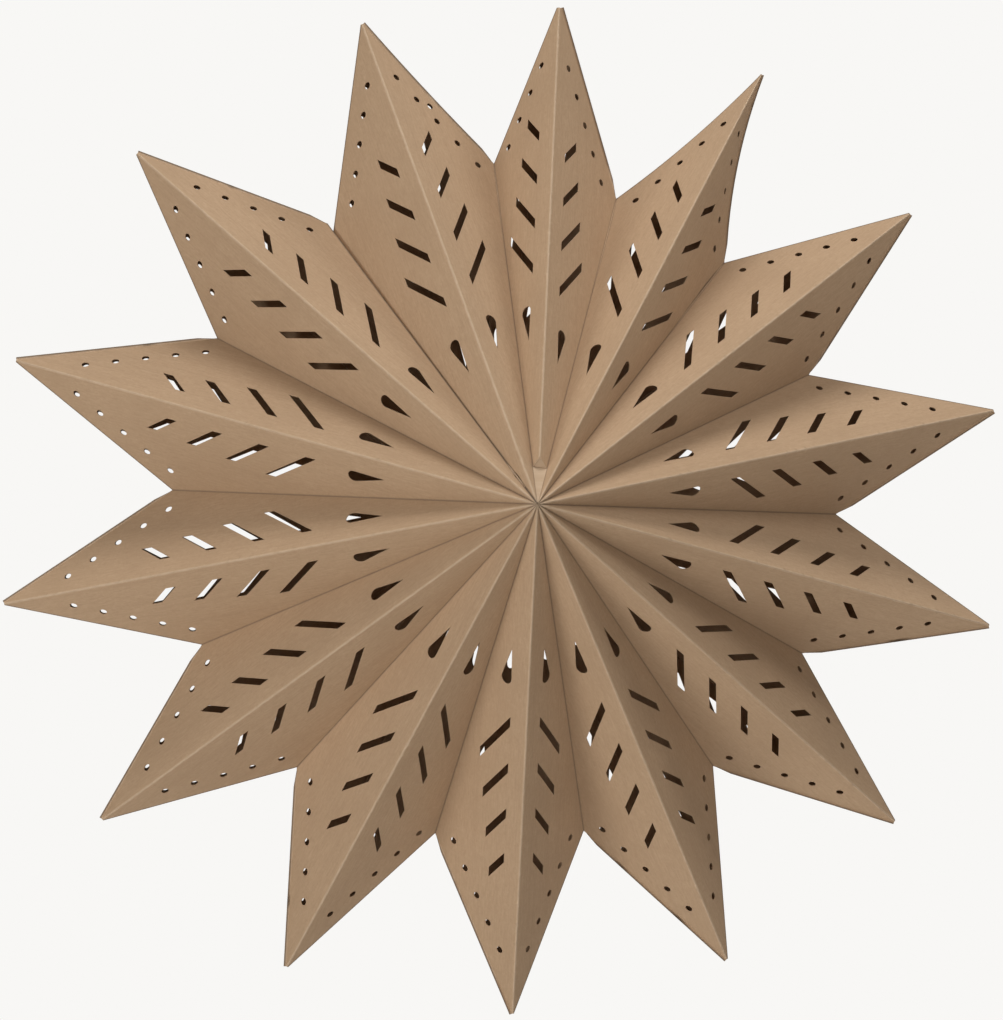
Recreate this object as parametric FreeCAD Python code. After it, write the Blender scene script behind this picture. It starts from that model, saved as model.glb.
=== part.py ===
import FreeCAD, Part
import math
import os

# A paper star of fourteen points, fanned open into a full circle and standing upright.
# Every point is one folded sheet: two walls in front meet along a sharp ridge, two walls
# behind mirror them, and the four walls run together at the tip. The sheet is open towards
# the points beside it, and is glued to them by narrow flaps along the valleys.
# The star's axis lies along Y with its front towards -Y, and the origin is where the axis
# crosses the middle plane. Angles are in degrees, clockwise from +Z as seen from the front.

# Driving dimensions, in millimetres and degrees. The edges of a point would meet on the tip
# circle, but its tip is blunt and ends a little short of it.
TIP_RADIUS = 302.5
TIP_BLUNTNESS = 2.0
NOTCH_RADIUS = 198.0
HALF_DEPTH = 150.0
SHEET_THICKNESS = 0.4
HUB_GAP_RADIUS = 0.8

# How far the points are fanned apart, from each to the next one clockwise
FIRST_POINT_ANGLE = 6.0
POINT_SPACINGS = [24.7, 23.5, 24.8, 24.9, 25.2, 25.1, 25.4, 26.3, 26.7, 26.6, 27.3, 27.0, 29.7]
VALLEY_SHARE = 0.5

# The valleys on both sides of point 1 and the one after point 2 lie off the middle between
# their points. Their notches lie a step inside the notch circle, or the last one outside it.
FIRST_VALLEY_SHARE = 0.552
SECOND_VALLEY_SHARE = 0.477
LAST_VALLEY_SHARE = 0.64
FIRST_NOTCH_STEP = 3.5
SECOND_NOTCH_STEP = 2.5
LAST_NOTCH_STEP = 5.5

# Point 1 has the bluntest tip, and point 14 is a little shorter than the others
FIRST_TIP_BLUNTNESS = 4.5
LAST_TIP_STEP = 3.0

# The star closes between points 13 and 14, where the two sheets don't quite line up
CLOSING_VALLEY_SHARE = 0.47
CLOSING_STEP = 6.0

# Near the hub they also leave a slim gap in front
CLOSING_GAP_START = 9.0
CLOSING_GAP_LENGTH = 19.0
CLOSING_GAP_WIDTH = 1.8

# The front ridge of point 1 is pressed flat next to the hub
PRESSED_FLAT_RADIUS = 21.0
PRESSED_RIDGE_RADIUS = 24.5

# Glue flaps along the valleys, in the planes between the points
FLAP_WIDTH = 8.0
FLAP_HUB_CLEARANCE = 14.0
FLAP_NOTCH_CLEARANCE = 2.0
FLAP_END_TAPER = 12.0

# The edge from tip to notch on the clockwise side of a point is glued, and both layers stand
# out in a narrow lip
LIP_WIDTH = 1.2
LIP_ROOT = 1.0
LIP_NOTCH_CLEARANCE = 2.0
LIP_END_TAPER = 2.0

# Round dots in a row beside the edge from tip to notch. Distances of holes are measured
# from the tip circle, for the dots along the edge and for the others along the ridge.
DOT_COUNT = 5
DOT_DIAMETER = 4.3
DOT_EDGE_MARGIN = 13.1
DOT_FIRST_DISTANCE = 41.6
DOT_PITCH = 17.5

# Slanted slits beside the ridge, each longer than the one further out
SLIT_COUNT = 4
SLIT_WIDTH = 4.0
SLIT_ANGLE = 37.5
SLIT_RIDGE_MARGIN = 12.0
SLIT_FIRST_DISTANCE = 106.0
SLIT_PITCH = 30.2
SLIT_FIRST_REACH = 11.3
SLIT_REACH_STEP = 3.5

# A drop near the hub, round towards the tip and pointed towards the hub
DROP_DISTANCE = 223.8
DROP_RIDGE_MARGIN = 16.3
DROP_RADIUS = 3.7
DROP_LENGTH = 20.0
DROP_LEAN = 9.0

# The two walls that meet in the valley between points 14 and 1 were punched nearer the tip
FIRST_WALL_SHIFT = 14.0
FIRST_WALL_DOT_COUNT = 4
FIRST_WALL_DOT_EDGE_MARGIN = 8.5
LAST_WALL_SHIFT = 9.0
EXTRA_DOT_DISTANCE = 8.0
EXTRA_DOT_EDGE_MARGIN = 7.0

# A hole is punched only where it leaves at least this much paper to the edges of its wall
HOLE_RIM = 2.0

# Sheet thickness at the pressed flat, measured along the star's axis
PRESSED_SHEET_DEPTH = SHEET_THICKNESS * math.hypot(NOTCH_RADIUS, HALF_DEPTH) / NOTCH_RADIUS

# Overlaps of the cutting shapes
PUNCH_REACH = 1.2
CAVITY_SCALE = 1.25
OUTLINE_SAMPLES = 16

FRONT = -1.0
REAR = 1.0
ANTICLOCKWISE = "anticlockwise"
CLOCKWISE = "clockwise"


def vector(x, y, z):
    return FreeCAD.Vector(x, y, z)


def on_middle_plane(radius, angle):
    turn = math.radians(angle)
    return vector(radius * math.sin(turn), 0.0, radius * math.cos(turn))


def unit(direction):
    return direction * (1.0 / direction.Length)


def point_angles():
    angles = [FIRST_POINT_ANGLE]
    for spacing in POINT_SPACINGS:
        angles.append(angles[-1] + spacing)
    return angles


def valley_share(valley, count):
    """Where a valley lies between its two points; valley i follows point i clockwise."""
    if valley == 1:
        return FIRST_VALLEY_SHARE
    if valley == 2:
        return SECOND_VALLEY_SHARE
    if valley == count:
        return LAST_VALLEY_SHARE
    if valley == count - 1:
        return CLOSING_VALLEY_SHARE
    return VALLEY_SHARE


def valley_angle(angles, valley):
    start = angles[valley - 1]
    end = angles[valley] if valley < len(angles) else angles[0] + 360.0
    return start + valley_share(valley, len(angles)) * (end - start)


def notch_radius(valley, count):
    if valley == 1:
        return NOTCH_RADIUS - FIRST_NOTCH_STEP
    if valley == 2:
        return NOTCH_RADIUS - SECOND_NOTCH_STEP
    if valley == count:
        return NOTCH_RADIUS + LAST_NOTCH_STEP
    return NOTCH_RADIUS


def tip_radius(number, count):
    if number == count:
        return TIP_RADIUS - LAST_TIP_STEP
    return TIP_RADIUS


def tip_bluntness(number):
    if number == 1:
        return FIRST_TIP_BLUNTNESS
    return TIP_BLUNTNESS


def corners(angles, number):
    """Tip and the two notches of a point, numbered from 1 clockwise."""
    count = len(angles)
    before = number - 1 if number > 1 else count
    tip = on_middle_plane(tip_radius(number, count), angles[number - 1])
    before_radius = notch_radius(before, count)
    if number == count:
        before_radius -= CLOSING_STEP
    notches = {
        ANTICLOCKWISE: on_middle_plane(before_radius, valley_angle(angles, before)),
        CLOCKWISE: on_middle_plane(notch_radius(number, count), valley_angle(angles, number)),
    }
    return tip, notches


def polyhedron(faces):
    shells = [Part.Face(Part.makePolygon(list(face) + [face[0]])) for face in faces]
    return Part.makeSolid(Part.makeShell(shells))


def point_block(tip, notches, front_apex, rear_apex):
    """The filled form of a point, out to the planes that it shares with its neighbours."""
    left = notches[ANTICLOCKWISE]
    right = notches[CLOCKWISE]
    return polyhedron([
        (front_apex, left, tip),
        (front_apex, tip, right),
        (rear_apex, tip, left),
        (rear_apex, right, tip),
        (front_apex, rear_apex, left),
        (front_apex, right, rear_apex),
    ])


def wall_frame(tip, notch, apex):
    """Axes of a flat wall: along the ridge from the tip, across to the notch, and square to both."""
    along = unit(apex - tip)
    edge = notch - tip
    across = unit(edge - along * edge.dot(along))
    return along, across, along.cross(across)


def inner_tip(tip, notches, front_apex):
    """Where the inner faces of the four walls run together, on the middle plane."""
    lines = []
    for notch in notches.values():
        normal = wall_frame(tip, notch, front_apex)[2]
        if normal.dot(tip) > 0:
            normal = normal * -1.0
        inward = unit(vector(normal.x, 0.0, normal.z))
        lines.append((inward, tip.dot(inward) + SHEET_THICKNESS / normal.dot(inward)))
    (first, first_reach), (second, second_reach) = lines
    scale = first.x * second.z - first.z * second.x
    x = (first_reach * second.z - second_reach * first.z) / scale
    z = (first.x * second_reach - second.x * first_reach) / scale
    return vector(x, 0.0, z)


def pressed_away(tip, notches, apex, sink):
    """All that lies in front of the flat where a ridge is pressed down next to the hub."""
    flat_corners = []
    for notch in notches.values():
        flat_corners.append(apex + (notch - apex) * (PRESSED_FLAT_RADIUS / notch.Length))
    ridge_end = apex + (tip - apex) * (PRESSED_RIDGE_RADIUS / tip.Length)
    flat = Part.Face(Part.makePolygon([apex, flat_corners[0], flat_corners[1], apex]))
    slope = Part.Face(Part.makePolygon([ridge_end, flat_corners[0], flat_corners[1], ridge_end]))
    away = flat.extrude(apex).fuse(slope.extrude(apex))
    away.translate(unit(apex) * -sink)
    return away


def past_tip(tip, bluntness):
    """All that lies further out than the blunt end of a tip."""
    outward = unit(tip)
    aside = vector(outward.z, 0.0, -outward.x) * bluntness
    start = tip - outward * bluntness
    reach = outward * (2.0 * bluntness)
    outline = [start - aside, start + aside, start + aside + reach, start - aside + reach, start - aside]
    prism = Part.Face(Part.makePolygon(outline)).extrude(vector(0.0, 2.0 * bluntness, 0.0))
    prism.translate(vector(0.0, -bluntness, 0.0))
    return prism


def hollow_sheet(tip, notches, front_apex, rear_apex, bluntness, pressed):
    """The four thin walls of a point, open towards both neighbours."""
    outside = point_block(tip, notches, front_apex, rear_apex)
    grown = [tip + (corner - tip) * CAVITY_SCALE for corner in (front_apex, rear_apex)]
    grown_notches = {side: tip + (notch - tip) * CAVITY_SCALE for side, notch in notches.items()}
    cavity = point_block(tip, grown_notches, grown[0], grown[1])
    cavity.translate(inner_tip(tip, notches, front_apex) - tip)
    outside = outside.cut(past_tip(tip, bluntness))
    cavity = cavity.cut(past_tip(tip, bluntness + SHEET_THICKNESS))
    if pressed:
        outside = outside.cut(pressed_away(tip, notches, front_apex, 0.0))
        cavity = cavity.cut(pressed_away(tip, notches, front_apex, PRESSED_SHEET_DEPTH))
    return outside.cut(cavity)


def glue_flap(tip, notch, apex):
    """A strip with tapered ends along a valley, folded back into the plane between two points."""
    along = unit(apex - notch)
    towards_axis = notch * -1.0
    inward = unit(towards_axis - along * towards_axis.dot(along))
    start = notch + along * FLAP_NOTCH_CLEARANCE
    end = apex - along * FLAP_HUB_CLEARANCE
    outline = [
        start,
        end,
        end - along * FLAP_END_TAPER + inward * FLAP_WIDTH,
        start + along * FLAP_END_TAPER + inward * FLAP_WIDTH,
        start,
    ]
    square = along.cross(inward)
    if square.dot(tip) < 0:
        square = square * -1.0
    return Part.Face(Part.makePolygon(outline)).extrude(square * SHEET_THICKNESS)


def seam_lip(tip, notch, bluntness):
    """Both layers of the glued edge, flat on the middle plane."""
    along = unit(notch - tip)
    outward = vector(-along.z, 0.0, along.x)
    start = tip + along * bluntness
    end = notch - along * LIP_NOTCH_CLEARANCE
    outline = [
        start - outward * LIP_ROOT,
        start + outward * LIP_WIDTH,
        end - along * LIP_END_TAPER + outward * LIP_WIDTH,
        end - outward * LIP_ROOT,
        start - outward * LIP_ROOT,
    ]
    lip = Part.Face(Part.makePolygon(outline)).extrude(vector(0.0, 2.0 * SHEET_THICKNESS, 0.0))
    lip.translate(vector(0.0, -SHEET_THICKNESS, 0.0))
    return lip


def dot_outline(along, across):
    circle = Part.Circle(vector(along, across, 0.0), vector(0.0, 0.0, 1.0), DOT_DIAMETER / 2.0)
    return Part.Wire([circle.toShape()])


def slit_outline(along, inner, reach):
    """A slanted strip with both ends cut parallel to the ridge."""
    slant = math.radians(SLIT_ANGLE)
    half_end = SLIT_WIDTH / math.sin(slant) / 2.0
    run = reach / math.tan(slant)
    return Part.makePolygon([
        vector(along - half_end, inner, 0.0),
        vector(along + half_end, inner, 0.0),
        vector(along + half_end - run, inner + reach, 0.0),
        vector(along - half_end - run, inner + reach, 0.0),
        vector(along - half_end, inner, 0.0),
    ])


def drop_outline(along, across):
    """A round end drawn out to a point that leans towards the ridge."""
    lean = math.radians(DROP_LEAN)
    direction = vector(math.cos(lean), -math.sin(lean), 0.0)
    side = vector(math.sin(lean), math.cos(lean), 0.0)
    centre = vector(along, across, 0.0)
    point = centre + direction * DROP_LENGTH
    touch = math.acos(DROP_RADIUS / DROP_LENGTH)
    ahead = direction * (DROP_RADIUS * math.cos(touch))
    aside = side * (DROP_RADIUS * math.sin(touch))
    back = centre - direction * DROP_RADIUS
    round_end = Part.Arc(centre + ahead + aside, back, centre + ahead - aside).toShape()
    return Part.Wire([
        round_end,
        Part.LineSegment(centre + ahead - aside, point).toShape(),
        Part.LineSegment(point, centre + ahead + aside).toShape(),
    ])


def hole_outlines(edge_angle, ridge_length, number, side, count):
    """The holes of one wall, with x along the ridge from the tip and y across it."""
    short = math.hypot(TIP_RADIUS, HALF_DEPTH) - ridge_length
    shift = 0.0
    dot_count = DOT_COUNT
    dot_margin = DOT_EDGE_MARGIN
    extra_dot = False
    if number == 1 and side == ANTICLOCKWISE:
        shift = FIRST_WALL_SHIFT
        dot_count = FIRST_WALL_DOT_COUNT
        dot_margin = FIRST_WALL_DOT_EDGE_MARGIN
    if number == count and side == CLOCKWISE:
        shift = LAST_WALL_SHIFT
        extra_dot = True

    def dot_beside_edge(distance, margin):
        along = distance * math.cos(edge_angle) + margin * math.sin(edge_angle)
        across = distance * math.sin(edge_angle) - margin * math.cos(edge_angle)
        return dot_outline(along, across)

    outlines = []
    for index in range(dot_count):
        outlines.append(dot_beside_edge(DOT_FIRST_DISTANCE + index * DOT_PITCH - short, dot_margin))
    if extra_dot:
        distance = DOT_FIRST_DISTANCE + DOT_PITCH + EXTRA_DOT_DISTANCE - short
        outlines.append(dot_beside_edge(distance, EXTRA_DOT_EDGE_MARGIN))
    for index in range(SLIT_COUNT):
        along = SLIT_FIRST_DISTANCE + index * SLIT_PITCH - short - shift
        reach = SLIT_FIRST_REACH + index * SLIT_REACH_STEP
        outlines.append(slit_outline(along, SLIT_RIDGE_MARGIN, reach))
    outlines.append(drop_outline(DROP_DISTANCE - short - shift, DROP_RIDGE_MARGIN))
    return outlines


def leaves_rim(outline, wall):
    """Whether a hole keeps clear of all three edges of its wall, given anticlockwise."""
    for start, end in zip(wall, wall[1:] + wall[:1]):
        edge = unit(end - start)
        for point in outline.discretize(OUTLINE_SAMPLES):
            if edge.cross(point - start).z < HOLE_RIM:
                return False
    return True


def punches(tip, notch, apex, number, side, count):
    """Solids that punch one wall, standing square to it."""
    along, across, square = wall_frame(tip, notch, apex)
    edge = notch - tip
    flat_notch = vector(edge.dot(along), edge.dot(across), 0.0)
    ridge_length = (apex - tip).Length
    wall = [vector(0.0, 0.0, 0.0), vector(ridge_length, 0.0, 0.0), flat_notch]
    edge_angle = math.atan2(flat_notch.y, flat_notch.x)
    place = FreeCAD.Placement(FreeCAD.Matrix(
        along.x, across.x, square.x, tip.x,
        along.y, across.y, square.y, tip.y,
        along.z, across.z, square.z, tip.z,
        0.0, 0.0, 0.0, 1.0,
    ))
    solids = []
    for outline in hole_outlines(edge_angle, ridge_length, number, side, count):
        if not leaves_rim(outline, wall):
            continue
        outline.translate(vector(0.0, 0.0, -PUNCH_REACH))
        punch = Part.Face(outline).extrude(vector(0.0, 0.0, PUNCH_REACH * 2.0))
        punch.Placement = place.multiply(punch.Placement)
        solids.append(punch)
    return solids


def closing_gap(angle):
    """A slim prism along a valley, from the middle plane to the front."""
    start = on_middle_plane(CLOSING_GAP_START, angle)
    end = on_middle_plane(CLOSING_GAP_START + CLOSING_GAP_LENGTH, angle)
    middle = (start + end) * 0.5
    aside = on_middle_plane(CLOSING_GAP_WIDTH / 2.0, angle + 90.0)
    outline = Part.makePolygon([start, middle + aside, end, middle - aside, start])
    return Part.Face(outline).extrude(vector(0.0, FRONT * HALF_DEPTH, 0.0))


def star_point(angles, number):
    count = len(angles)
    tip, notches = corners(angles, number)
    front_apex = vector(0.0, FRONT * HALF_DEPTH, 0.0)
    rear_apex = vector(0.0, REAR * HALF_DEPTH, 0.0)
    bluntness = tip_bluntness(number)
    sheet = hollow_sheet(tip, notches, front_apex, rear_apex, bluntness, number == 1)
    strips = [seam_lip(tip, notches[CLOCKWISE], bluntness)]
    tools = []
    for apex in (front_apex, rear_apex):
        for side, notch in notches.items():
            strips.append(glue_flap(tip, notch, apex))
            tools.extend(punches(tip, notch, apex, number, side, count))
    if number >= count - 1:
        tools.append(closing_gap(valley_angle(angles, count - 1)))
    tools.append(Part.makeCylinder(
        HUB_GAP_RADIUS, 4.0 * HALF_DEPTH, vector(0.0, -2.0 * HALF_DEPTH, 0.0), vector(0.0, 1.0, 0.0)))
    return sheet.fuse(strips).cut(tools)


def main():
    os.makedirs("parts", exist_ok=True)
    angles = point_angles()
    for number in range(1, len(angles) + 1):
        solid = star_point(angles, number)
        name = f"point_{number:02d}"
        print(name, "solids", len(solid.Solids), "volume", round(solid.Volume, 1), "valid", solid.isValid())
        solid.exportStep(f"parts/{name}.step")


main()
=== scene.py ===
import bmesh
import bpy
import math
import random
from mathutils import Matrix, Vector
from mathutils.geometry import delaunay_2d_cdt


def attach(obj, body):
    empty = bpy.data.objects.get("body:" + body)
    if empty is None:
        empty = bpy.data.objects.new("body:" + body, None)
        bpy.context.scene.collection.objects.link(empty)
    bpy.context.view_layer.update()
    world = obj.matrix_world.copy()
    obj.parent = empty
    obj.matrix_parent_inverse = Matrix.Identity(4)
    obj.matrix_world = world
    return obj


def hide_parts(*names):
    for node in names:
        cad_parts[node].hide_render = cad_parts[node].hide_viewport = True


# A hanging star of fourteen folded kraft paper points. Each point is made again as four thin
# walls of fine triangles, in the form of its CAD node, so that the paper can bow a little
# between its folds. Lengths are in millimetres until the meshes are written in metres.

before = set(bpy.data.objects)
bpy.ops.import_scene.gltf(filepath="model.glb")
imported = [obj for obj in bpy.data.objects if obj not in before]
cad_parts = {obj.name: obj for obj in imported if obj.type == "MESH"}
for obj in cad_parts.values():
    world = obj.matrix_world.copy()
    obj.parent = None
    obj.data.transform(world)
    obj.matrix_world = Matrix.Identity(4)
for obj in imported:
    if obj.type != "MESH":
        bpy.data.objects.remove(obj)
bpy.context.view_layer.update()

TIP_RADIUS = 302.5
TIP_BLUNTNESS = 2.0
FIRST_TIP_BLUNTNESS = 4.5
LAST_TIP_STEP = 3.0
NOTCH_RADIUS = 198.0
HALF_DEPTH = 150.0
SHEET_THICKNESS = 0.4
FIRST_POINT_ANGLE = 6.0
POINT_SPACINGS = [24.7, 23.5, 24.8, 24.9, 25.2, 25.1, 25.4, 26.3, 26.7, 26.6, 27.3, 27.0, 29.7]
COUNT = len(POINT_SPACINGS) + 1
VALLEY_SHARES = {1: 0.552, 2: 0.477, COUNT - 1: 0.47, COUNT: 0.64}
NOTCH_STEPS = {1: -3.5, 2: -2.5, COUNT: 5.5}
CLOSING_STEP = 6.0
CLOSING_GAP_START = 9.0
CLOSING_GAP_LENGTH = 19.0
CLOSING_GAP_WIDTH = 1.8
PRESSED_FLAT_RADIUS = 21.0
PRESSED_RIDGE_RADIUS = 26.5
SLOPE_LIFT = 0.35

FLAP_WIDTH = 8.0
FLAP_HUB_CLEARANCE = 14.0
PRESSED_FLAP_CLEARANCE = 29.0
FLAP_NOTCH_CLEARANCE = 2.0
FLAP_END_TAPER = 12.0
LIP_WIDTH = 1.2
LIP_ROOT = 1.0
LIP_NOTCH_CLEARANCE = 2.0
LIP_END_TAPER = 2.0

DOT_COUNT = 5
DOT_DIAMETER = 4.3
DOT_EDGE_MARGIN = 13.1
DOT_FIRST_DISTANCE = 41.6
DOT_PITCH = 17.5
SLIT_COUNT = 4
SLIT_WIDTH = 4.0
SLIT_ANGLE = 37.5
SLIT_RIDGE_MARGIN = 12.0
SLIT_FIRST_DISTANCE = 106.0
SLIT_PITCH = 30.2
SLIT_FIRST_REACH = 11.3
SLIT_REACH_STEP = 3.5
DROP_DISTANCE = 223.8
DROP_RIDGE_MARGIN = 16.3
DROP_RADIUS = 3.7
DROP_LENGTH = 20.0
DROP_LEAN = 9.0
FIRST_WALL_SHIFT = 14.0
FIRST_WALL_DOT_COUNT = 4
FIRST_WALL_DOT_EDGE_MARGIN = 8.5
LAST_WALL_SHIFT = 9.0
EXTRA_DOT_DISTANCE = 8.0
EXTRA_DOT_EDGE_MARGIN = 7.0

# Fineness of the meshes
EDGE_STEP = 7.0
INSIDE_STEP = 6.5
CLEAR_OF_LINES = 2.2
FOLD_HALF_WIDTH = 0.8
DOT_SEGMENTS = 20
DROP_ARC_SEGMENTS = 18
HUB_END = 1.4
LIP_PIECES = 12
ROW_SHARE = 0.87
JITTER = 0.2
APEX_SHARE = 0.06
PLATE_DEPTH = 1.25 * SHEET_THICKNESS

# What the material reads instead of a true distance: on plates, at blunt tips, beside the lips, on
# plates painted pale all over as a highlight, and along the open joint. Each wall has its own part of
# the grain.
FAR_FROM_EDGE = 20.0
TIP_SHADE_DISTANCE = 0.7
LIP_SHADE_SHIFT = 0.85
# Plates read as lying on the ridge, so they take its pale colour all over: a painted highlight.
HIGHLIGHT_FROM_RIDGE = 0.3
PLATE_FROM_RIDGE = 8.0
CLOSING_SHADE_SCALE = 1.5
CLOSING_SHADE_SHIFT = 0.9
GRAIN_OFFSET = 977.0
FIRST_SEED = 700

FRONT = -1.0
REAR = 1.0
BEFORE = -1
AFTER = 1
MILLIMETRE = 0.001

# How far the paper bows between its folds, and how far the edges of three walls are bent in
MOST_BOW = 1.2
EDGE_BENDS = {(2, BEFORE): 2.6, (2, AFTER): 5.0, (COUNT, AFTER): 1.0}


def on_middle_plane(radius, angle):
    turn = math.radians(angle)
    return Vector((radius * math.sin(turn), 0.0, radius * math.cos(turn)))


ANGLES = [FIRST_POINT_ANGLE]
for spacing in POINT_SPACINGS:
    ANGLES.append(ANGLES[-1] + spacing)


def valley_angle(valley):
    """Valley i follows point i clockwise, as seen from the front."""
    start = ANGLES[valley - 1]
    end = ANGLES[valley] if valley < COUNT else ANGLES[0] + 360.0
    return start + VALLEY_SHARES.get(valley, 0.5) * (end - start)


def corners(number):
    """Tip and the two notches of a point."""
    before = number - 1 if number > 1 else COUNT
    tip_radius = TIP_RADIUS - LAST_TIP_STEP if number == COUNT else TIP_RADIUS
    tip = on_middle_plane(tip_radius, ANGLES[number - 1])
    before_radius = NOTCH_RADIUS + NOTCH_STEPS.get(before, 0.0)
    if number == COUNT:
        before_radius -= CLOSING_STEP
    notches = {
        BEFORE: on_middle_plane(before_radius, valley_angle(before)),
        AFTER: on_middle_plane(NOTCH_RADIUS + NOTCH_STEPS.get(number, 0.0), valley_angle(number)),
    }
    return tip, notches


class Wall:
    """A flat wall from tip to notch to hub, with x along the ridge from the tip and y across it."""

    def __init__(self, number, side, facing):
        self.number = number
        self.side = side
        self.facing = facing
        self.tip, notches = corners(number)
        self.notch = notches[side]
        self.apex = Vector((0.0, facing * HALF_DEPTH, 0.0))
        ridge = self.apex - self.tip
        self.length = ridge.length
        self.along = ridge.normalized()
        edge = self.notch - self.tip
        self.across = (edge - self.along * edge.dot(self.along)).normalized()
        self.out = self.along.cross(self.across)
        if self.out.y * facing < 0:
            self.out = -self.out
        self.flat_notch = (edge.dot(self.along), edge.dot(self.across))
        self.bluntness = FIRST_TIP_BLUNTNESS if number == 1 else TIP_BLUNTNESS
        self.bend = EDGE_BENDS.get((number, side), 0.0)
        self.short = math.hypot(TIP_RADIUS, HALF_DEPTH) - self.length

    def place(self, x, y, out=0.0):
        return self.tip + self.along * x + self.across * y + self.out * out

    def bent(self, x, y):
        """How far the paper at x, y moves in where the wall's edge is bent towards the axis."""
        notch_x, notch_y = self.flat_notch
        share = min(1.0, max(0.0, y / notch_y))
        from_hub = (x - notch_x * share) / self.length
        near_edge = max(0.0, 1.0 - 3.0 * from_hub) ** 2
        edge = (self.notch - self.tip).normalized()
        inward = Vector((edge.z, 0.0, -edge.x)) * self.side
        return inward * (self.bend * 4.0 * share * (1.0 - share) * near_edge)

    def flat(self, point):
        offset = point - self.tip
        return offset.dot(self.along), offset.dot(self.across)

    def seen_from_front(self, x, z):
        """The wall's own coordinates of the point seen at x, z from straight in front."""
        start = Vector((x, 0.0, z))
        depth = (self.tip - start).dot(self.out) / self.out.y
        return self.flat(start + Vector((0.0, depth, 0.0)))


def inner_step(walls):
    """From a point's tip to where the inner faces of its walls run together."""
    lines = []
    for wall in walls:
        flat = Vector((wall.out.x, 0.0, wall.out.z))
        inward = -flat.normalized()
        lines.append((inward, SHEET_THICKNESS / flat.length))
    (first, first_reach), (second, second_reach) = lines
    scale = first.x * second.z - first.z * second.x
    x = (first_reach * second.z - second_reach * first.z) / scale
    z = (first.x * second_reach - second.x * first_reach) / scale
    return Vector((x, 0.0, z))


def split(start, end, step):
    """Points from start up to but not including end, at even spacing."""
    count = max(1, math.ceil(math.dist(start, end) / step))
    points = []
    for index in range(count):
        share = index / count
        points.append((start[0] + (end[0] - start[0]) * share, start[1] + (end[1] - start[1]) * share))
    return points


def closed(points, step):
    """A polygon's outline with its long sides split."""
    outline = []
    for start, end in zip(points, points[1:] + points[:1]):
        outline.extend(split(start, end, step))
    return outline


def dot_outline(x, y):
    radius = DOT_DIAMETER / 2.0
    outline = []
    for index in range(DOT_SEGMENTS):
        turn = 2.0 * math.pi * index / DOT_SEGMENTS
        outline.append((x + radius * math.cos(turn), y + radius * math.sin(turn)))
    return outline


def slit_outline(x, reach):
    slant = math.radians(SLIT_ANGLE)
    half_end = SLIT_WIDTH / math.sin(slant) / 2.0
    run = reach / math.tan(slant)
    return closed([
        (x - half_end, SLIT_RIDGE_MARGIN),
        (x + half_end, SLIT_RIDGE_MARGIN),
        (x + half_end - run, SLIT_RIDGE_MARGIN + reach),
        (x - half_end - run, SLIT_RIDGE_MARGIN + reach),
    ], INSIDE_STEP)


def drop_outline(x, y):
    """A round end drawn out to a point that leans towards the ridge."""
    lean = math.radians(DROP_LEAN)
    touch = math.acos(DROP_RADIUS / DROP_LENGTH)
    outline = []
    for index in range(DROP_ARC_SEGMENTS + 1):
        turn = touch + (2.0 * math.pi - 2.0 * touch) * index / DROP_ARC_SEGMENTS - lean
        outline.append((x + DROP_RADIUS * math.cos(turn), y + DROP_RADIUS * math.sin(turn)))
    point = (x + DROP_LENGTH * math.cos(lean), y - DROP_LENGTH * math.sin(lean))
    outline.extend(split(outline[-1], point, INSIDE_STEP)[1:])
    outline.extend(split(point, outline[0], INSIDE_STEP))
    return outline


def hole_outlines(wall):
    shift = 0.0
    dot_count = DOT_COUNT
    dot_margin = DOT_EDGE_MARGIN
    extra_dot = False
    if wall.number == 1 and wall.side == BEFORE:
        shift = FIRST_WALL_SHIFT
        dot_count = FIRST_WALL_DOT_COUNT
        dot_margin = FIRST_WALL_DOT_EDGE_MARGIN
    if wall.number == COUNT and wall.side == AFTER:
        shift = LAST_WALL_SHIFT
        extra_dot = True
    edge_angle = math.atan2(wall.flat_notch[1], wall.flat_notch[0])

    def dot_beside_edge(distance, margin):
        x = distance * math.cos(edge_angle) + margin * math.sin(edge_angle)
        y = distance * math.sin(edge_angle) - margin * math.cos(edge_angle)
        return dot_outline(x, y)

    outlines = []
    for index in range(dot_count):
        outlines.append(dot_beside_edge(DOT_FIRST_DISTANCE + index * DOT_PITCH - wall.short, dot_margin))
    if extra_dot:
        distance = DOT_FIRST_DISTANCE + DOT_PITCH + EXTRA_DOT_DISTANCE - wall.short
        outlines.append(dot_beside_edge(distance, EXTRA_DOT_EDGE_MARGIN))
    for index in range(SLIT_COUNT):
        x = SLIT_FIRST_DISTANCE + index * SLIT_PITCH - wall.short - shift
        outlines.append(slit_outline(x, SLIT_FIRST_REACH + index * SLIT_REACH_STEP))
    outlines.append(drop_outline(DROP_DISTANCE - wall.short - shift, DROP_RIDGE_MARGIN))
    return outlines


def inside(point, outline):
    """Whether a point lies inside a closed outline."""
    x, y = point
    found = False
    for (x1, y1), (x2, y2) in zip(outline, outline[1:] + outline[:1]):
        if (y1 > y) != (y2 > y) and x < (x2 - x1) * (y - y1) / (y2 - y1) + x1:
            found = not found
    return found


def distance_to_line(point, start, end):
    """Distance from the endless line through start and end."""
    dx = end[0] - start[0]
    dy = end[1] - start[1]
    return abs(dx * (point[1] - start[1]) - dy * (point[0] - start[0])) / math.hypot(dx, dy)


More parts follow.
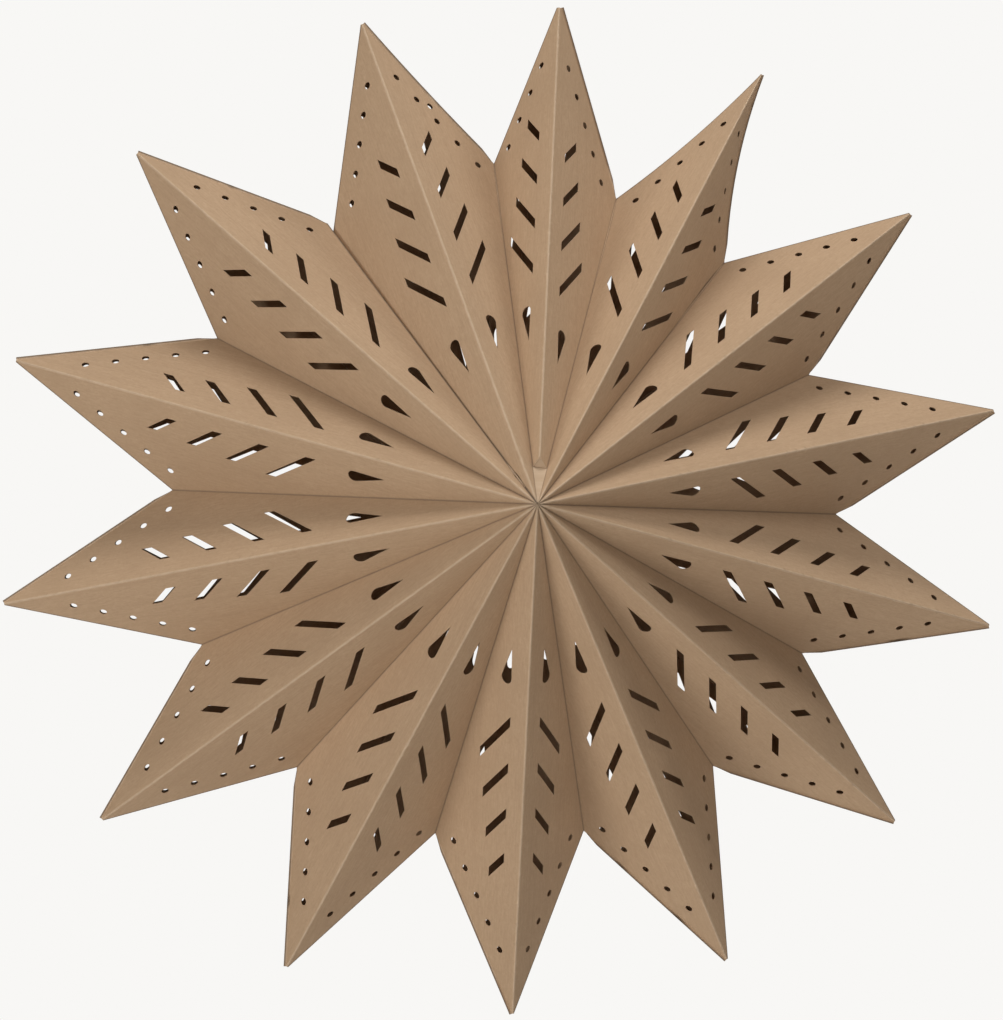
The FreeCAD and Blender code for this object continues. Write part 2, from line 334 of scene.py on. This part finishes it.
def wall_outline(wall):
    """The wall's outline as (x, y, kind): the kind says which fold or edge a vertex lies on."""
    hub_x = wall.length - HUB_END
    tip_on_edge, tip_on_ridge = blunt_end(wall)
    valley_end = split_at_x(wall.flat_notch, (wall.length, 0.0), hub_x)
    outline = []

    def add(start, end, kind):
        points = split(start, end, EDGE_STEP)
        outline.extend((x, y, kind) for x, y in points)

    outline.append((*tip_on_ridge, "ridge"))
    add(tip_on_edge, wall.flat_notch, "edge")
    valley_start = len(outline)
    pressed = wall.number == 1 and wall.facing == FRONT
    if pressed:
        flat_corner, ridge_end = pressed_line(wall)
        add(wall.flat_notch, flat_corner, "valley")
        add(flat_corner, ridge_end, "slope")
        outline[-len(split(flat_corner, ridge_end, EDGE_STEP))] = (*flat_corner, "valley")
        add(ridge_end, tip_on_ridge, "ridge")
    elif is_closing(wall):
        gap = gap_corners(wall)
        add(wall.flat_notch, gap[0], "valley")
        add(gap[0], gap[1], "valley")
        add(gap[1], gap[2], "valley")
        add(gap[2], valley_end, "valley")
        add(valley_end, (hub_x, 0.0), "valley")
        add((hub_x, 0.0), tip_on_ridge, "ridge")
    else:
        add(wall.flat_notch, valley_end, "valley")
        add(valley_end, (hub_x, 0.0), "valley")
        add((hub_x, 0.0), tip_on_ridge, "ridge")
    outline[valley_start] = (*wall.flat_notch, "valley")
    return outline


def blunt_end(wall):
    """Where the wall's edge and its ridge are cut off at the tip."""
    outward = wall.tip.normalized()
    ends = []
    for far in (wall.notch, wall.apex):
        line = far - wall.tip
        ends.append(wall.flat(wall.tip - line * (wall.bluntness / line.dot(outward))))
    return ends[0], (ends[1][0], 0.0)


def split_at_x(start, end, x):
    share = (x - start[0]) / (end[0] - start[0])
    return x, start[1] + (end[1] - start[1]) * share


def is_closing(wall):
    """Whether the fan closes at this wall's valley, in front, where the joint stands open."""
    return wall.facing == FRONT and (wall.number, wall.side) in ((COUNT - 1, AFTER), (COUNT, BEFORE))


def gap_corners(wall):
    """Where the slim gap at the closing valley starts, is widest and ends, from notch to hub."""
    angle = valley_angle(COUNT - 1)
    outer = on_middle_plane(CLOSING_GAP_START + CLOSING_GAP_LENGTH, angle)
    inner = on_middle_plane(CLOSING_GAP_START, angle)
    towards = -1.0 if wall.number == COUNT - 1 else 1.0
    middle = (outer + inner) * 0.5 + on_middle_plane(towards * CLOSING_GAP_WIDTH / 2.0, angle + 90.0)
    return [wall.seen_from_front(point.x, point.z) for point in (outer, middle, inner)]


def pressed_line(wall):
    """Ends of the line where the wall stops at the pressed flat: on the valley and on the ridge."""
    flat_corner = wall.apex + (wall.notch - wall.apex) * (PRESSED_FLAT_RADIUS / wall.notch.length)
    ridge_end = wall.apex + (wall.tip - wall.apex) * (PRESSED_RIDGE_RADIUS / wall.tip.length)
    return wall.flat(flat_corner), wall.flat(ridge_end)


def inside_points(wall, outline, holes, chance):
    """Even points over the wall, clear of its lines, with a row beside the ridge."""
    lines = [(point[0], point[1]) for point in outline]
    for hole in holes:
        lines.extend(hole)
    points = []
    rows = int(wall.flat_notch[1] / INSIDE_STEP) + 1
    columns = int(wall.length / INSIDE_STEP) + 1
    boundary = [(x, y) for x, y, kind in outline]
    for row in range(rows):
        for column in range(columns):
            x = (column + 0.5 * (row % 2) + chance.uniform(-JITTER, JITTER)) * INSIDE_STEP
            y = (row + 0.5 + chance.uniform(-JITTER, JITTER)) * INSIDE_STEP * ROW_SHARE
            if not inside((x, y), boundary) or any(inside((x, y), hole) for hole in holes):
                continue
            if distance_to_line((x, y), (0.0, 0.0), wall.flat_notch) < CLEAR_OF_LINES:
                continue
            if distance_to_line((x, y), wall.flat_notch, (wall.length, 0.0)) < CLEAR_OF_LINES:
                continue
            if min(math.dist((x, y), line) for line in lines) < CLEAR_OF_LINES:
                continue
            points.append((x, y))
    for column in range(1, columns * 2):
        x = column * EDGE_STEP / 2.0
        if inside((x, FOLD_HALF_WIDTH), boundary):
            points.append((x, FOLD_HALF_WIDTH))
    return points


def bow(wall, x, y, amount):
    """How far the wall stands out at x, y: nothing on its three edges, all of it in its middle."""
    notch_x, notch_y = wall.flat_notch
    from_notch = y / notch_y
    from_hub = (x - notch_x * from_notch) / wall.length
    from_tip = 1.0 - from_notch - from_hub
    middle = 3.0 ** 3
    return amount * middle * max(0.0, from_notch) * max(0.0, from_hub) * max(0.0, from_tip)


def wall_mesh(builder, layers, wall, step_in, index, chance):
    """Adds a wall's outer face, inner face and cut edges to a bmesh, in metres."""
    outline = wall_outline(wall)
    holes = hole_outlines(wall)
    points = [(x, y) for x, y, kind in outline]
    kinds = [kind for x, y, kind in outline]
    loops = [list(range(len(points)))]
    for hole in holes:
        loops.append(list(range(len(points), len(points) + len(hole))))
        points.extend(hole)
        kinds.extend(["hole"] * len(hole))
    within = inside_points(wall, outline, holes, chance)
    points.extend(within)
    kinds.extend(["inside"] * len(within))
    edges = []
    for loop in loops:
        edges.extend(zip(loop, loop[1:] + loop[:1]))
    result = delaunay_2d_cdt([Vector(point) for point in points], edges, [], 1, 1e-5)
    flat, faces, origins = result[0], result[2], result[3]
    amount = chance.uniform(0.3, 1.0) * MOST_BOW
    valley_step = -wall.notch.normalized()
    valley_step = valley_step * (SHEET_THICKNESS / -valley_step.dot(wall.out))
    outer = []
    inner = []
    for position, origin in zip(flat, origins):
        kind = kinds[origin[0]] if origin else "inside"
        top = wall.place(position.x, position.y, bow(wall, position.x, position.y, amount))
        top += wall.bent(position.x, position.y)
        if kind in ("ridge", "edge"):
            below = top + step_in
        elif kind == "valley":
            below = top + valley_step
        else:
            below = top - wall.out * SHEET_THICKNESS
        outer.append(builder.verts.new(top * MILLIMETRE))
        inner.append(builder.verts.new(below * MILLIMETRE))

    def measure(vertex):
        x, y = flat[vertex]
        edge_distance = distance_to_line((x, y), (0.0, 0.0), wall.flat_notch)
        valley_distance = distance_to_line((x, y), wall.flat_notch, (wall.length, 0.0))
        # Along the open joint the painted valley shade is drawn darker and a little wider.
        if is_closing(wall):
            valley_distance = CLOSING_SHADE_SCALE * valley_distance - CLOSING_SHADE_SHIFT
        if wall.side == AFTER:
            edge_distance += LIP_SHADE_SHIFT
        return (x + GRAIN_OFFSET * index, y), (edge_distance, valley_distance)

    def add_face(vertices, sources):
        face = builder.faces.new(vertices)
        for loop, source in zip(face.loops, sources):
            lengthways, rims = measure(source)
            loop[layers[0]].uv = lengthways
            loop[layers[1]].uv = rims
        return face

    chirality = 1.0 if wall.along.cross(wall.across).dot(wall.out) > 0 else -1.0
    used = {}
    for face in faces:
        middle = sum((flat[vertex] for vertex in face), Vector((0.0, 0.0))) / len(face)
        if any(inside((middle.x, middle.y), hole) for hole in holes):
            continue
        order = list(face)
        if turns_left(flat, order) != (chirality > 0):
            order.reverse()
        add_face([outer[vertex] for vertex in order], order)
        add_face([inner[vertex] for vertex in reversed(order)], order[::-1])
        for start, end in zip(order, order[1:] + order[:1]):
            used[(start, end)] = True
    for start, end in used:
        if (end, start) in used:
            continue
        start_kind = kinds[origins[start][0]]
        end_kind = kinds[origins[end][0]]
        if edge_is_joined(wall, flat[start], flat[end], start_kind, end_kind):
            continue
        order = [end, start, start, end]
        add_face([outer[end], outer[start], inner[start], inner[end]], order)


def turns_left(flat, order):
    first, second, third = (flat[vertex] for vertex in order[:3])
    return (second - first).cross(third - first) > 0


def edge_is_joined(wall, start, end, start_kind, end_kind):
    """Whether a boundary edge lies on the ridge or on the tip's edge, where the next wall goes on."""
    if "hole" in (start_kind, end_kind):
        return False
    on_ridge = abs(start.y) < 1e-4 and abs(end.y) < 1e-4
    tip_line = ((0.0, 0.0), wall.flat_notch)
    on_edge = max(distance_to_line(point, *tip_line) for point in (start, end)) < 1e-3
    return on_ridge or on_edge


def add_plate(builder, layers, outline, thick_step, index, wear_and_highlight=False, edge_distances=None):
    """A small flat plate with straight sides; a plate so marked is painted pale all over, as a
    highlight.
    """
    top = [builder.verts.new(point * MILLIMETRE) for point in outline]
    below = [builder.verts.new((point + thick_step) * MILLIMETRE) for point in outline]
    edge_distances = edge_distances or [FAR_FROM_EDGE] * len(outline)
    from_edge = dict(zip(top + below, edge_distances * 2))
    normal = (outline[1] - outline[0]).cross(outline[2] - outline[0])
    if normal.dot(thick_step) > 0:
        top.reverse()
        below.reverse()
    faces = [builder.faces.new(top), builder.faces.new(below[::-1])]
    for place in range(len(top)):
        following = (place + 1) % len(top)
        faces.append(builder.faces.new([top[following], top[place], below[place], below[following]]))
    for face in faces:
        for loop in face.loops:
            position = loop.vert.co / MILLIMETRE
            # Marked plates read as on the ridge and so get the pale colour all over: a painted
            # highlight.
            from_ridge = HIGHLIGHT_FROM_RIDGE if wear_and_highlight else PLATE_FROM_RIDGE + position.x
            loop[layers[0]].uv = (position.z + GRAIN_OFFSET * index, from_ridge)
            loop[layers[1]].uv = (from_edge[loop.vert], FAR_FROM_EDGE)


def glue_flap(builder, layers, wall, index):
    along = (wall.apex - wall.notch).normalized()
    towards_axis = -wall.notch
    inward = (towards_axis - along * towards_axis.dot(along)).normalized()
    start = wall.notch + along * FLAP_NOTCH_CLEARANCE
    pressed = wall.number == 1 and wall.facing == FRONT
    end = wall.apex - along * (PRESSED_FLAP_CLEARANCE if pressed else FLAP_HUB_CLEARANCE)
    square = along.cross(inward)
    if square.dot(wall.tip) < 0:
        square = -square
    add_plate(builder, layers, [
        start,
        end,
        end - along * FLAP_END_TAPER + inward * FLAP_WIDTH,
        start + along * FLAP_END_TAPER + inward * FLAP_WIDTH,
    ], square * SHEET_THICKNESS, index)


def seam_lip(builder, layers, wall, index):
    """Both layers of the glued edge, flat on the middle plane and bent as the wall's edge is."""
    along = (wall.notch - wall.tip).normalized()
    outward = Vector((-along.z, 0.0, along.x))
    length = (wall.notch - wall.tip).length
    stops = [wall.bluntness]
    run = length - LIP_NOTCH_CLEARANCE - wall.bluntness
    for piece in range(1, LIP_PIECES + 1):
        stops.append(wall.bluntness + run * piece / LIP_PIECES)
    root = []
    rim = []
    for stop in stops:
        position = wall.tip + along * stop
        bend = wall.bent(*wall.flat(position))
        taper = min(1.0, (length - LIP_NOTCH_CLEARANCE - stop) / LIP_END_TAPER)
        for line, reach in ((root, -LIP_ROOT), (rim, LIP_WIDTH * taper)):
            line.append(position + outward * reach + bend)
    for start in range(LIP_PIECES):
        corners_of_piece = [root[start], rim[start], rim[start + 1], root[start + 1]]
        for corner in corners_of_piece:
            corner.y = -SHEET_THICKNESS
        thick_step = Vector((0.0, 2.0 * SHEET_THICKNESS, 0.0))
        edge_distances = [LIP_ROOT + LIP_WIDTH, 0.0, 0.0, LIP_ROOT + LIP_WIDTH]
        add_plate(builder, layers, corners_of_piece, thick_step, index, edge_distances=edge_distances)


def tip_cap(builder, layers, walls, index):
    """The small blunt end of a tip."""
    ridge_front, ridge_rear = [wall.place(*blunt_end(wall)[1]) for wall in (walls[0], walls[2])]
    left, right = [wall.place(*blunt_end(wall)[0]) for wall in walls[:2]]
    inward = -walls[0].tip.normalized() * SHEET_THICKNESS
    corners_of_cap = [ridge_front, right, ridge_rear, left]
    add_plate(builder, layers, corners_of_cap, inward, index, edge_distances=[TIP_SHADE_DISTANCE] * 4)


def pressed_flat(builder, layers, walls, index):
    """The flat and the short slope where a front ridge is pressed down next to the hub."""
    lines = [pressed_line(wall) for wall in walls]
    corners_of_flat = [wall.place(*line[0]) for wall, line in zip(walls, lines)]
    ridge_end = walls[0].place(*lines[0][1])
    apex = walls[0].apex
    near_apex = [apex + (corner - apex) * APEX_SHARE for corner in corners_of_flat]
    depth = Vector((0.0, -walls[0].facing * PLATE_DEPTH, 0.0))
    flat = [near_apex[0], corners_of_flat[0], corners_of_flat[1], near_apex[1]]
    # Both plates are painted pale all over: a painted highlight, which also paints over the shade the
    # slope would be in.
    add_plate(builder, layers, flat, depth, index, wear_and_highlight=True)
    lift = Vector((0.0, walls[0].facing * SLOPE_LIFT, 0.0))
    slope = [corner + lift for corner in (ridge_end, *corners_of_flat)]
    add_plate(builder, layers, slope, depth, index, wear_and_highlight=True)


def point_object(number, material):
    """One folded sheet as a mesh of its own, standing for its CAD node."""
    chance = random.Random(FIRST_SEED + number)
    builder = bmesh.new()
    layers = (builder.loops.layers.uv.new("wall"), builder.loops.layers.uv.new("rims"))
    sides = (BEFORE, AFTER)
    step_in = inner_step([Wall(number, side, FRONT) for side in sides])
    index = number * 6
    all_walls = [Wall(number, side, facing) for facing in (FRONT, REAR) for side in sides]
    seam_lip(builder, layers, all_walls[1], index)
    tip_cap(builder, layers, all_walls, index)
    for facing in (FRONT, REAR):
        walls = [wall for wall in all_walls if wall.facing == facing]
        for wall in walls:
            wall_mesh(builder, layers, wall, step_in, index, chance)
            glue_flap(builder, layers, wall, index)
            index += 1
        if number == 1 and facing == FRONT:
            pressed_flat(builder, layers, walls, index)
    bmesh.ops.remove_doubles(builder, verts=builder.verts, dist=1e-7)
    name = f"point_{number:02d}"
    mesh = bpy.data.meshes.new("paper_" + name)
    builder.to_mesh(mesh)
    builder.free()
    mesh.materials.append(material)
    soften(mesh)
    piece = bpy.data.objects.new("paper_" + name, mesh)
    bpy.context.collection.objects.link(piece)
    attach(piece, "root")
    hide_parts(name)
    return piece


def soften(mesh):
    """Smooth shading, with sharp lines only at cut edges and valleys, so that the folds look rounded."""
    for polygon in mesh.polygons:
        polygon.use_smooth = True
    mesh.set_sharp_from_angle(angle=math.radians(30.0))
    sharp = mesh.attributes["sharp_edge"].data
    for edge in mesh.edges:
        first, second = (mesh.vertices[vertex].co for vertex in edge.vertices)
        on_fold = min(abs(first.y), abs(second.y)) > 0.0005 and is_ridge(first) and is_ridge(second)
        if on_fold:
            sharp[edge.index].value = False


RIDGES = []
for ridge_number in range(1, COUNT + 1):
    ridge_tip = corners(ridge_number)[0] * MILLIMETRE
    for ridge_facing in (FRONT, REAR):
        ridge_apex = Vector((0.0, ridge_facing * HALF_DEPTH * MILLIMETRE, 0.0))
        RIDGES.append((ridge_tip, (ridge_apex - ridge_tip).normalized()))


def is_ridge(position):
    """Whether a vertex lies on the outer line of a ridge."""
    for start, direction in RIDGES:
        if (position - start).cross(direction).length < 2e-5:
            return True
    return False


class Nodes:
    """Short calls for building a material's node tree."""

    def __init__(self, material):
        material.use_nodes = True
        self.tree = material.node_tree
        self.tree.nodes.clear()

    def add(self, kind, inputs=(), **settings):
        node = self.tree.nodes.new(kind)
        for name, value in settings.items():
            setattr(node, name, value)
        for name, value in dict(inputs).items():
            if isinstance(value, bpy.types.NodeSocket):
                self.tree.links.new(value, node.inputs[name])
            else:
                node.inputs[name].default_value = value
        return node

    def math(self, operation, first, second):
        return self.add("ShaderNodeMath", {0: first, 1: second}, operation=operation).outputs[0]

    def fade(self, value, start, end, start_value=0.0, end_value=1.0):
        """Smoothly from one value to another as the input goes from start to end."""
        inputs = {
            "Value": value,
            "From Min": start,
            "From Max": end,
            "To Min": start_value,
            "To Max": end_value,
        }
        node = self.add("ShaderNodeMapRange", inputs, interpolation_type="SMOOTHSTEP")
        return node.outputs["Result"]

    def noise(self, vector, scale, detail=2.0, roughness=0.5):
        inputs = {"Vector": vector, "Scale": scale, "Detail": detail, "Roughness": roughness}
        return self.add("ShaderNodeTexNoise", inputs).outputs["Fac"]

    def stretched(self, vector, share):
        """Coordinates in which a pattern is drawn out lengthways."""
        inputs = {"Vector": vector, "Scale": (share, 1.0, 1.0)}
        return self.add("ShaderNodeMapping", inputs).outputs["Vector"]

    def tint(self, colour, factor_socket, other):
        node = self.add("ShaderNodeMix", data_type="RGBA")
        self.tree.links.new(factor_socket, node.inputs[0])
        for value, place in ((colour, 6), (other, 7)):
            if isinstance(value, bpy.types.NodeSocket):
                self.tree.links.new(value, node.inputs[place])
            else:
                node.inputs[place].default_value = value
        return node.outputs[2]


def kraft_paper():
    """Brown kraft paper: fibres along the sheet, soft blotches, folds made pale by wear and a painted
    highlight, dark thin edges, and painted shade along the valleys.
    """
    material = bpy.data.materials.new("kraft_paper")
    nodes = Nodes(material)
    wall = nodes.add("ShaderNodeUVMap", uv_map="wall").outputs["UV"]
    rims = nodes.add("ShaderNodeUVMap", uv_map="rims").outputs["UV"]
    wall_xyz = nodes.add("ShaderNodeSeparateXYZ", {"Vector": wall})
    rims_xyz = nodes.add("ShaderNodeSeparateXYZ", {"Vector": rims})
    ridge = wall_xyz.outputs["Y"]
    edge = rims_xyz.outputs["X"]
    valley = rims_xyz.outputs["Y"]

    fibres = nodes.noise(nodes.stretched(wall, 0.16), 0.9, 3.0, 0.6)
    long_streaks = nodes.noise(nodes.stretched(wall, 0.04), 0.22, 3.0, 0.6)
    grain = nodes.noise(wall, 0.55, 5.0, 0.7)
    blotches = nodes.noise(wall, 0.018, 3.0, 0.5)
    wear_noise = nodes.noise(wall, 0.12, 4.0, 0.6)

    base = (0.527, 0.355, 0.217, 1.0)
    darker = (0.448, 0.295, 0.176, 1.0)
    lighter = (0.606, 0.425, 0.276, 1.0)
    wear_and_highlight = (0.70, 0.525, 0.36, 1.0)
    dark_line = (0.16, 0.11, 0.075, 1.0)

    colour = nodes.tint(base, nodes.fade(fibres, 0.45, 0.75, 0.0, 0.55), darker)
    colour = nodes.tint(colour, nodes.fade(fibres, 0.50, 0.25, 0.0, 0.45), lighter)
    colour = nodes.tint(colour, nodes.fade(long_streaks, 0.45, 0.75, 0.0, 0.35), darker)
    colour = nodes.tint(colour, nodes.fade(grain, 0.50, 0.75, 0.0, 0.6), darker)
    colour = nodes.tint(colour, nodes.fade(grain, 0.46, 0.25, 0.0, 0.5), lighter)
    colour = nodes.tint(colour, nodes.fade(blotches, 0.40, 0.65, 0.0, 0.30), darker)

    # Pale line along the ridges: partly wear of the fold, partly a painted highlight where the rounded
    # fold catches the light.
    near_ridge = nodes.fade(ridge, 1.5, 0.2)
    ridge_wear_and_highlight = nodes.math("MULTIPLY", near_ridge, nodes.fade(wear_noise, 0.30, 0.60, 0.30, 0.70))
    colour = nodes.tint(colour, ridge_wear_and_highlight, wear_and_highlight)
    near_edge = nodes.math("MULTIPLY", nodes.fade(edge, 1.2, 0.4), 0.75)
    colour = nodes.tint(colour, near_edge, dark_line)
    # Painted shade: the paper is darkened along the valleys, in the crease where two walls meet.
    colour = nodes.tint(colour, nodes.fade(valley, 1.2, -0.8, 0.0, 0.9), dark_line)

    height = nodes.math("ADD", nodes.math("MULTIPLY", fibres, 0.6), nodes.math("MULTIPLY", grain, 0.4))
    bump = nodes.add("ShaderNodeBump", {"Height": height, "Strength": 0.35, "Distance": 0.00012})
    roughness = nodes.fade(grain, 0.3, 0.7, 0.68, 0.84)
    shader = nodes.add("ShaderNodeBsdfPrincipled", {
        "Base Color": colour,
        "Roughness": roughness,
        "Normal": bump.outputs["Normal"],
        "Specular IOR Level": 0.25,
    })
    nodes.add("ShaderNodeOutputMaterial", {"Surface": shader.outputs["BSDF"]})
    return material


def floor_material():
    """Pale and dull, and a little paler to the eye."""
    material = bpy.data.materials.new("pale_floor")
    nodes = Nodes(material)
    place = nodes.add("ShaderNodeTexCoord").outputs["Object"]
    mottle = nodes.fade(nodes.noise(place, 3.0, 3.0, 0.5), 0.3, 0.7)
    colour = nodes.tint((0.86, 0.855, 0.845, 1.0), mottle, (0.88, 0.875, 0.865, 1.0))
    seen = nodes.add("ShaderNodeLightPath").outputs["Is Camera Ray"]
    shader = nodes.add("ShaderNodeBsdfPrincipled", {
        "Base Color": colour,
        "Roughness": 0.8,
        "Emission Color": (1.0, 0.99, 0.97, 1.0),
        "Emission Strength": nodes.math("MULTIPLY", seen, 0.22),
    })
    nodes.add("ShaderNodeOutputMaterial", {"Surface": shader.outputs["BSDF"]})
    return material


FLOOR_RADIUS = 2.4
FLOOR_HEIGHT = -0.95


def build_stage():
    """A pale round floor well below the hanging star."""
    mesh = bpy.data.meshes.new("floor")
    builder = bmesh.new()
    bmesh.ops.create_circle(builder, cap_ends=True, segments=96, radius=FLOOR_RADIUS)
    builder.to_mesh(mesh)
    builder.free()
    mesh.materials.append(floor_material())
    floor = bpy.data.objects.new("floor", mesh)
    floor.location = (0.0, 0.0, FLOOR_HEIGHT)
    bpy.context.collection.objects.link(floor)


def build_world():
    """A plain pale background to the eye, and soft light from all round."""
    world = bpy.data.worlds.new("studio")
    bpy.context.scene.world = world
    nodes = Nodes(world)
    seen = nodes.add("ShaderNodeLightPath").outputs["Is Camera Ray"]
    pale = nodes.add("ShaderNodeBackground", {"Color": (0.939, 0.930, 0.913, 1.0), "Strength": 1.0})
    light = nodes.add("ShaderNodeBackground", {"Color": (1.0, 1.0, 1.0, 1.0), "Strength": 0.2})
    mix = nodes.add("ShaderNodeMixShader", {0: seen, 1: light.outputs[0], 2: pale.outputs[0]})
    nodes.add("ShaderNodeOutputWorld", {"Surface": mix.outputs[0]})


# The direction of each lamp from the star, and its power in watts
LAMP_DISTANCE = 2.6
LAMP_SIZE = 0.9
LAMPS = {
    "top": ((0.0, -0.35, 1.6), 30.5),
    "left": ((-1.5, -1.2, 0.0), 20.3),
    "upper_right": ((1.1, -0.35, 1.1), 14.3),
    "front": ((0.0, -2.0, 0.2), 4.3),
    "rear": ((-0.5, 2.0, 0.6), 22.0),
}


def build_lamps():
    """Soft round lamps, the strongest above and on the left."""
    for name, (direction, power) in LAMPS.items():
        place = Vector(direction).normalized() * LAMP_DISTANCE
        lamp = bpy.data.lights.new(name, "AREA")
        lamp.shape = "DISK"
        lamp.size = LAMP_SIZE
        lamp.energy = power
        holder = bpy.data.objects.new(name, lamp)
        holder.location = place
        holder.rotation_euler = (-place).to_track_quat("-Z", "Y").to_euler()
        bpy.context.collection.objects.link(holder)


CAMERA_PLACE = (-0.188, -1.7375, -0.0137)
CAMERA_FORWARD = (0.1054, 0.9944, 0.0066)
CAMERA_RIGHT = (0.9944, -0.1054, -0.0023)
CAMERA_LENS = 105.77


def build_camera():
    """The photo's view: from a little to the left, level with the star."""
    camera = bpy.data.cameras.new("camera")
    camera.sensor_fit = "HORIZONTAL"
    camera.sensor_width = 36.0
    camera.lens = CAMERA_LENS
    holder = bpy.data.objects.new("camera", camera)
    forward = Vector(CAMERA_FORWARD).normalized()
    right = Vector(CAMERA_RIGHT).normalized()
    up = right.cross(forward).normalized()
    right = forward.cross(up)
    turn = Matrix((right, up, -forward)).transposed().to_4x4()
    holder.matrix_world = Matrix.Translation(CAMERA_PLACE) @ turn
    bpy.context.collection.objects.link(holder)
    bpy.context.scene.camera = holder


paper = kraft_paper()
for point_number in range(1, COUNT + 1):
    point_object(point_number, paper)
build_stage()
build_world()
build_lamps()
build_camera()
bpy.context.scene.view_settings.view_transform = "Standard"
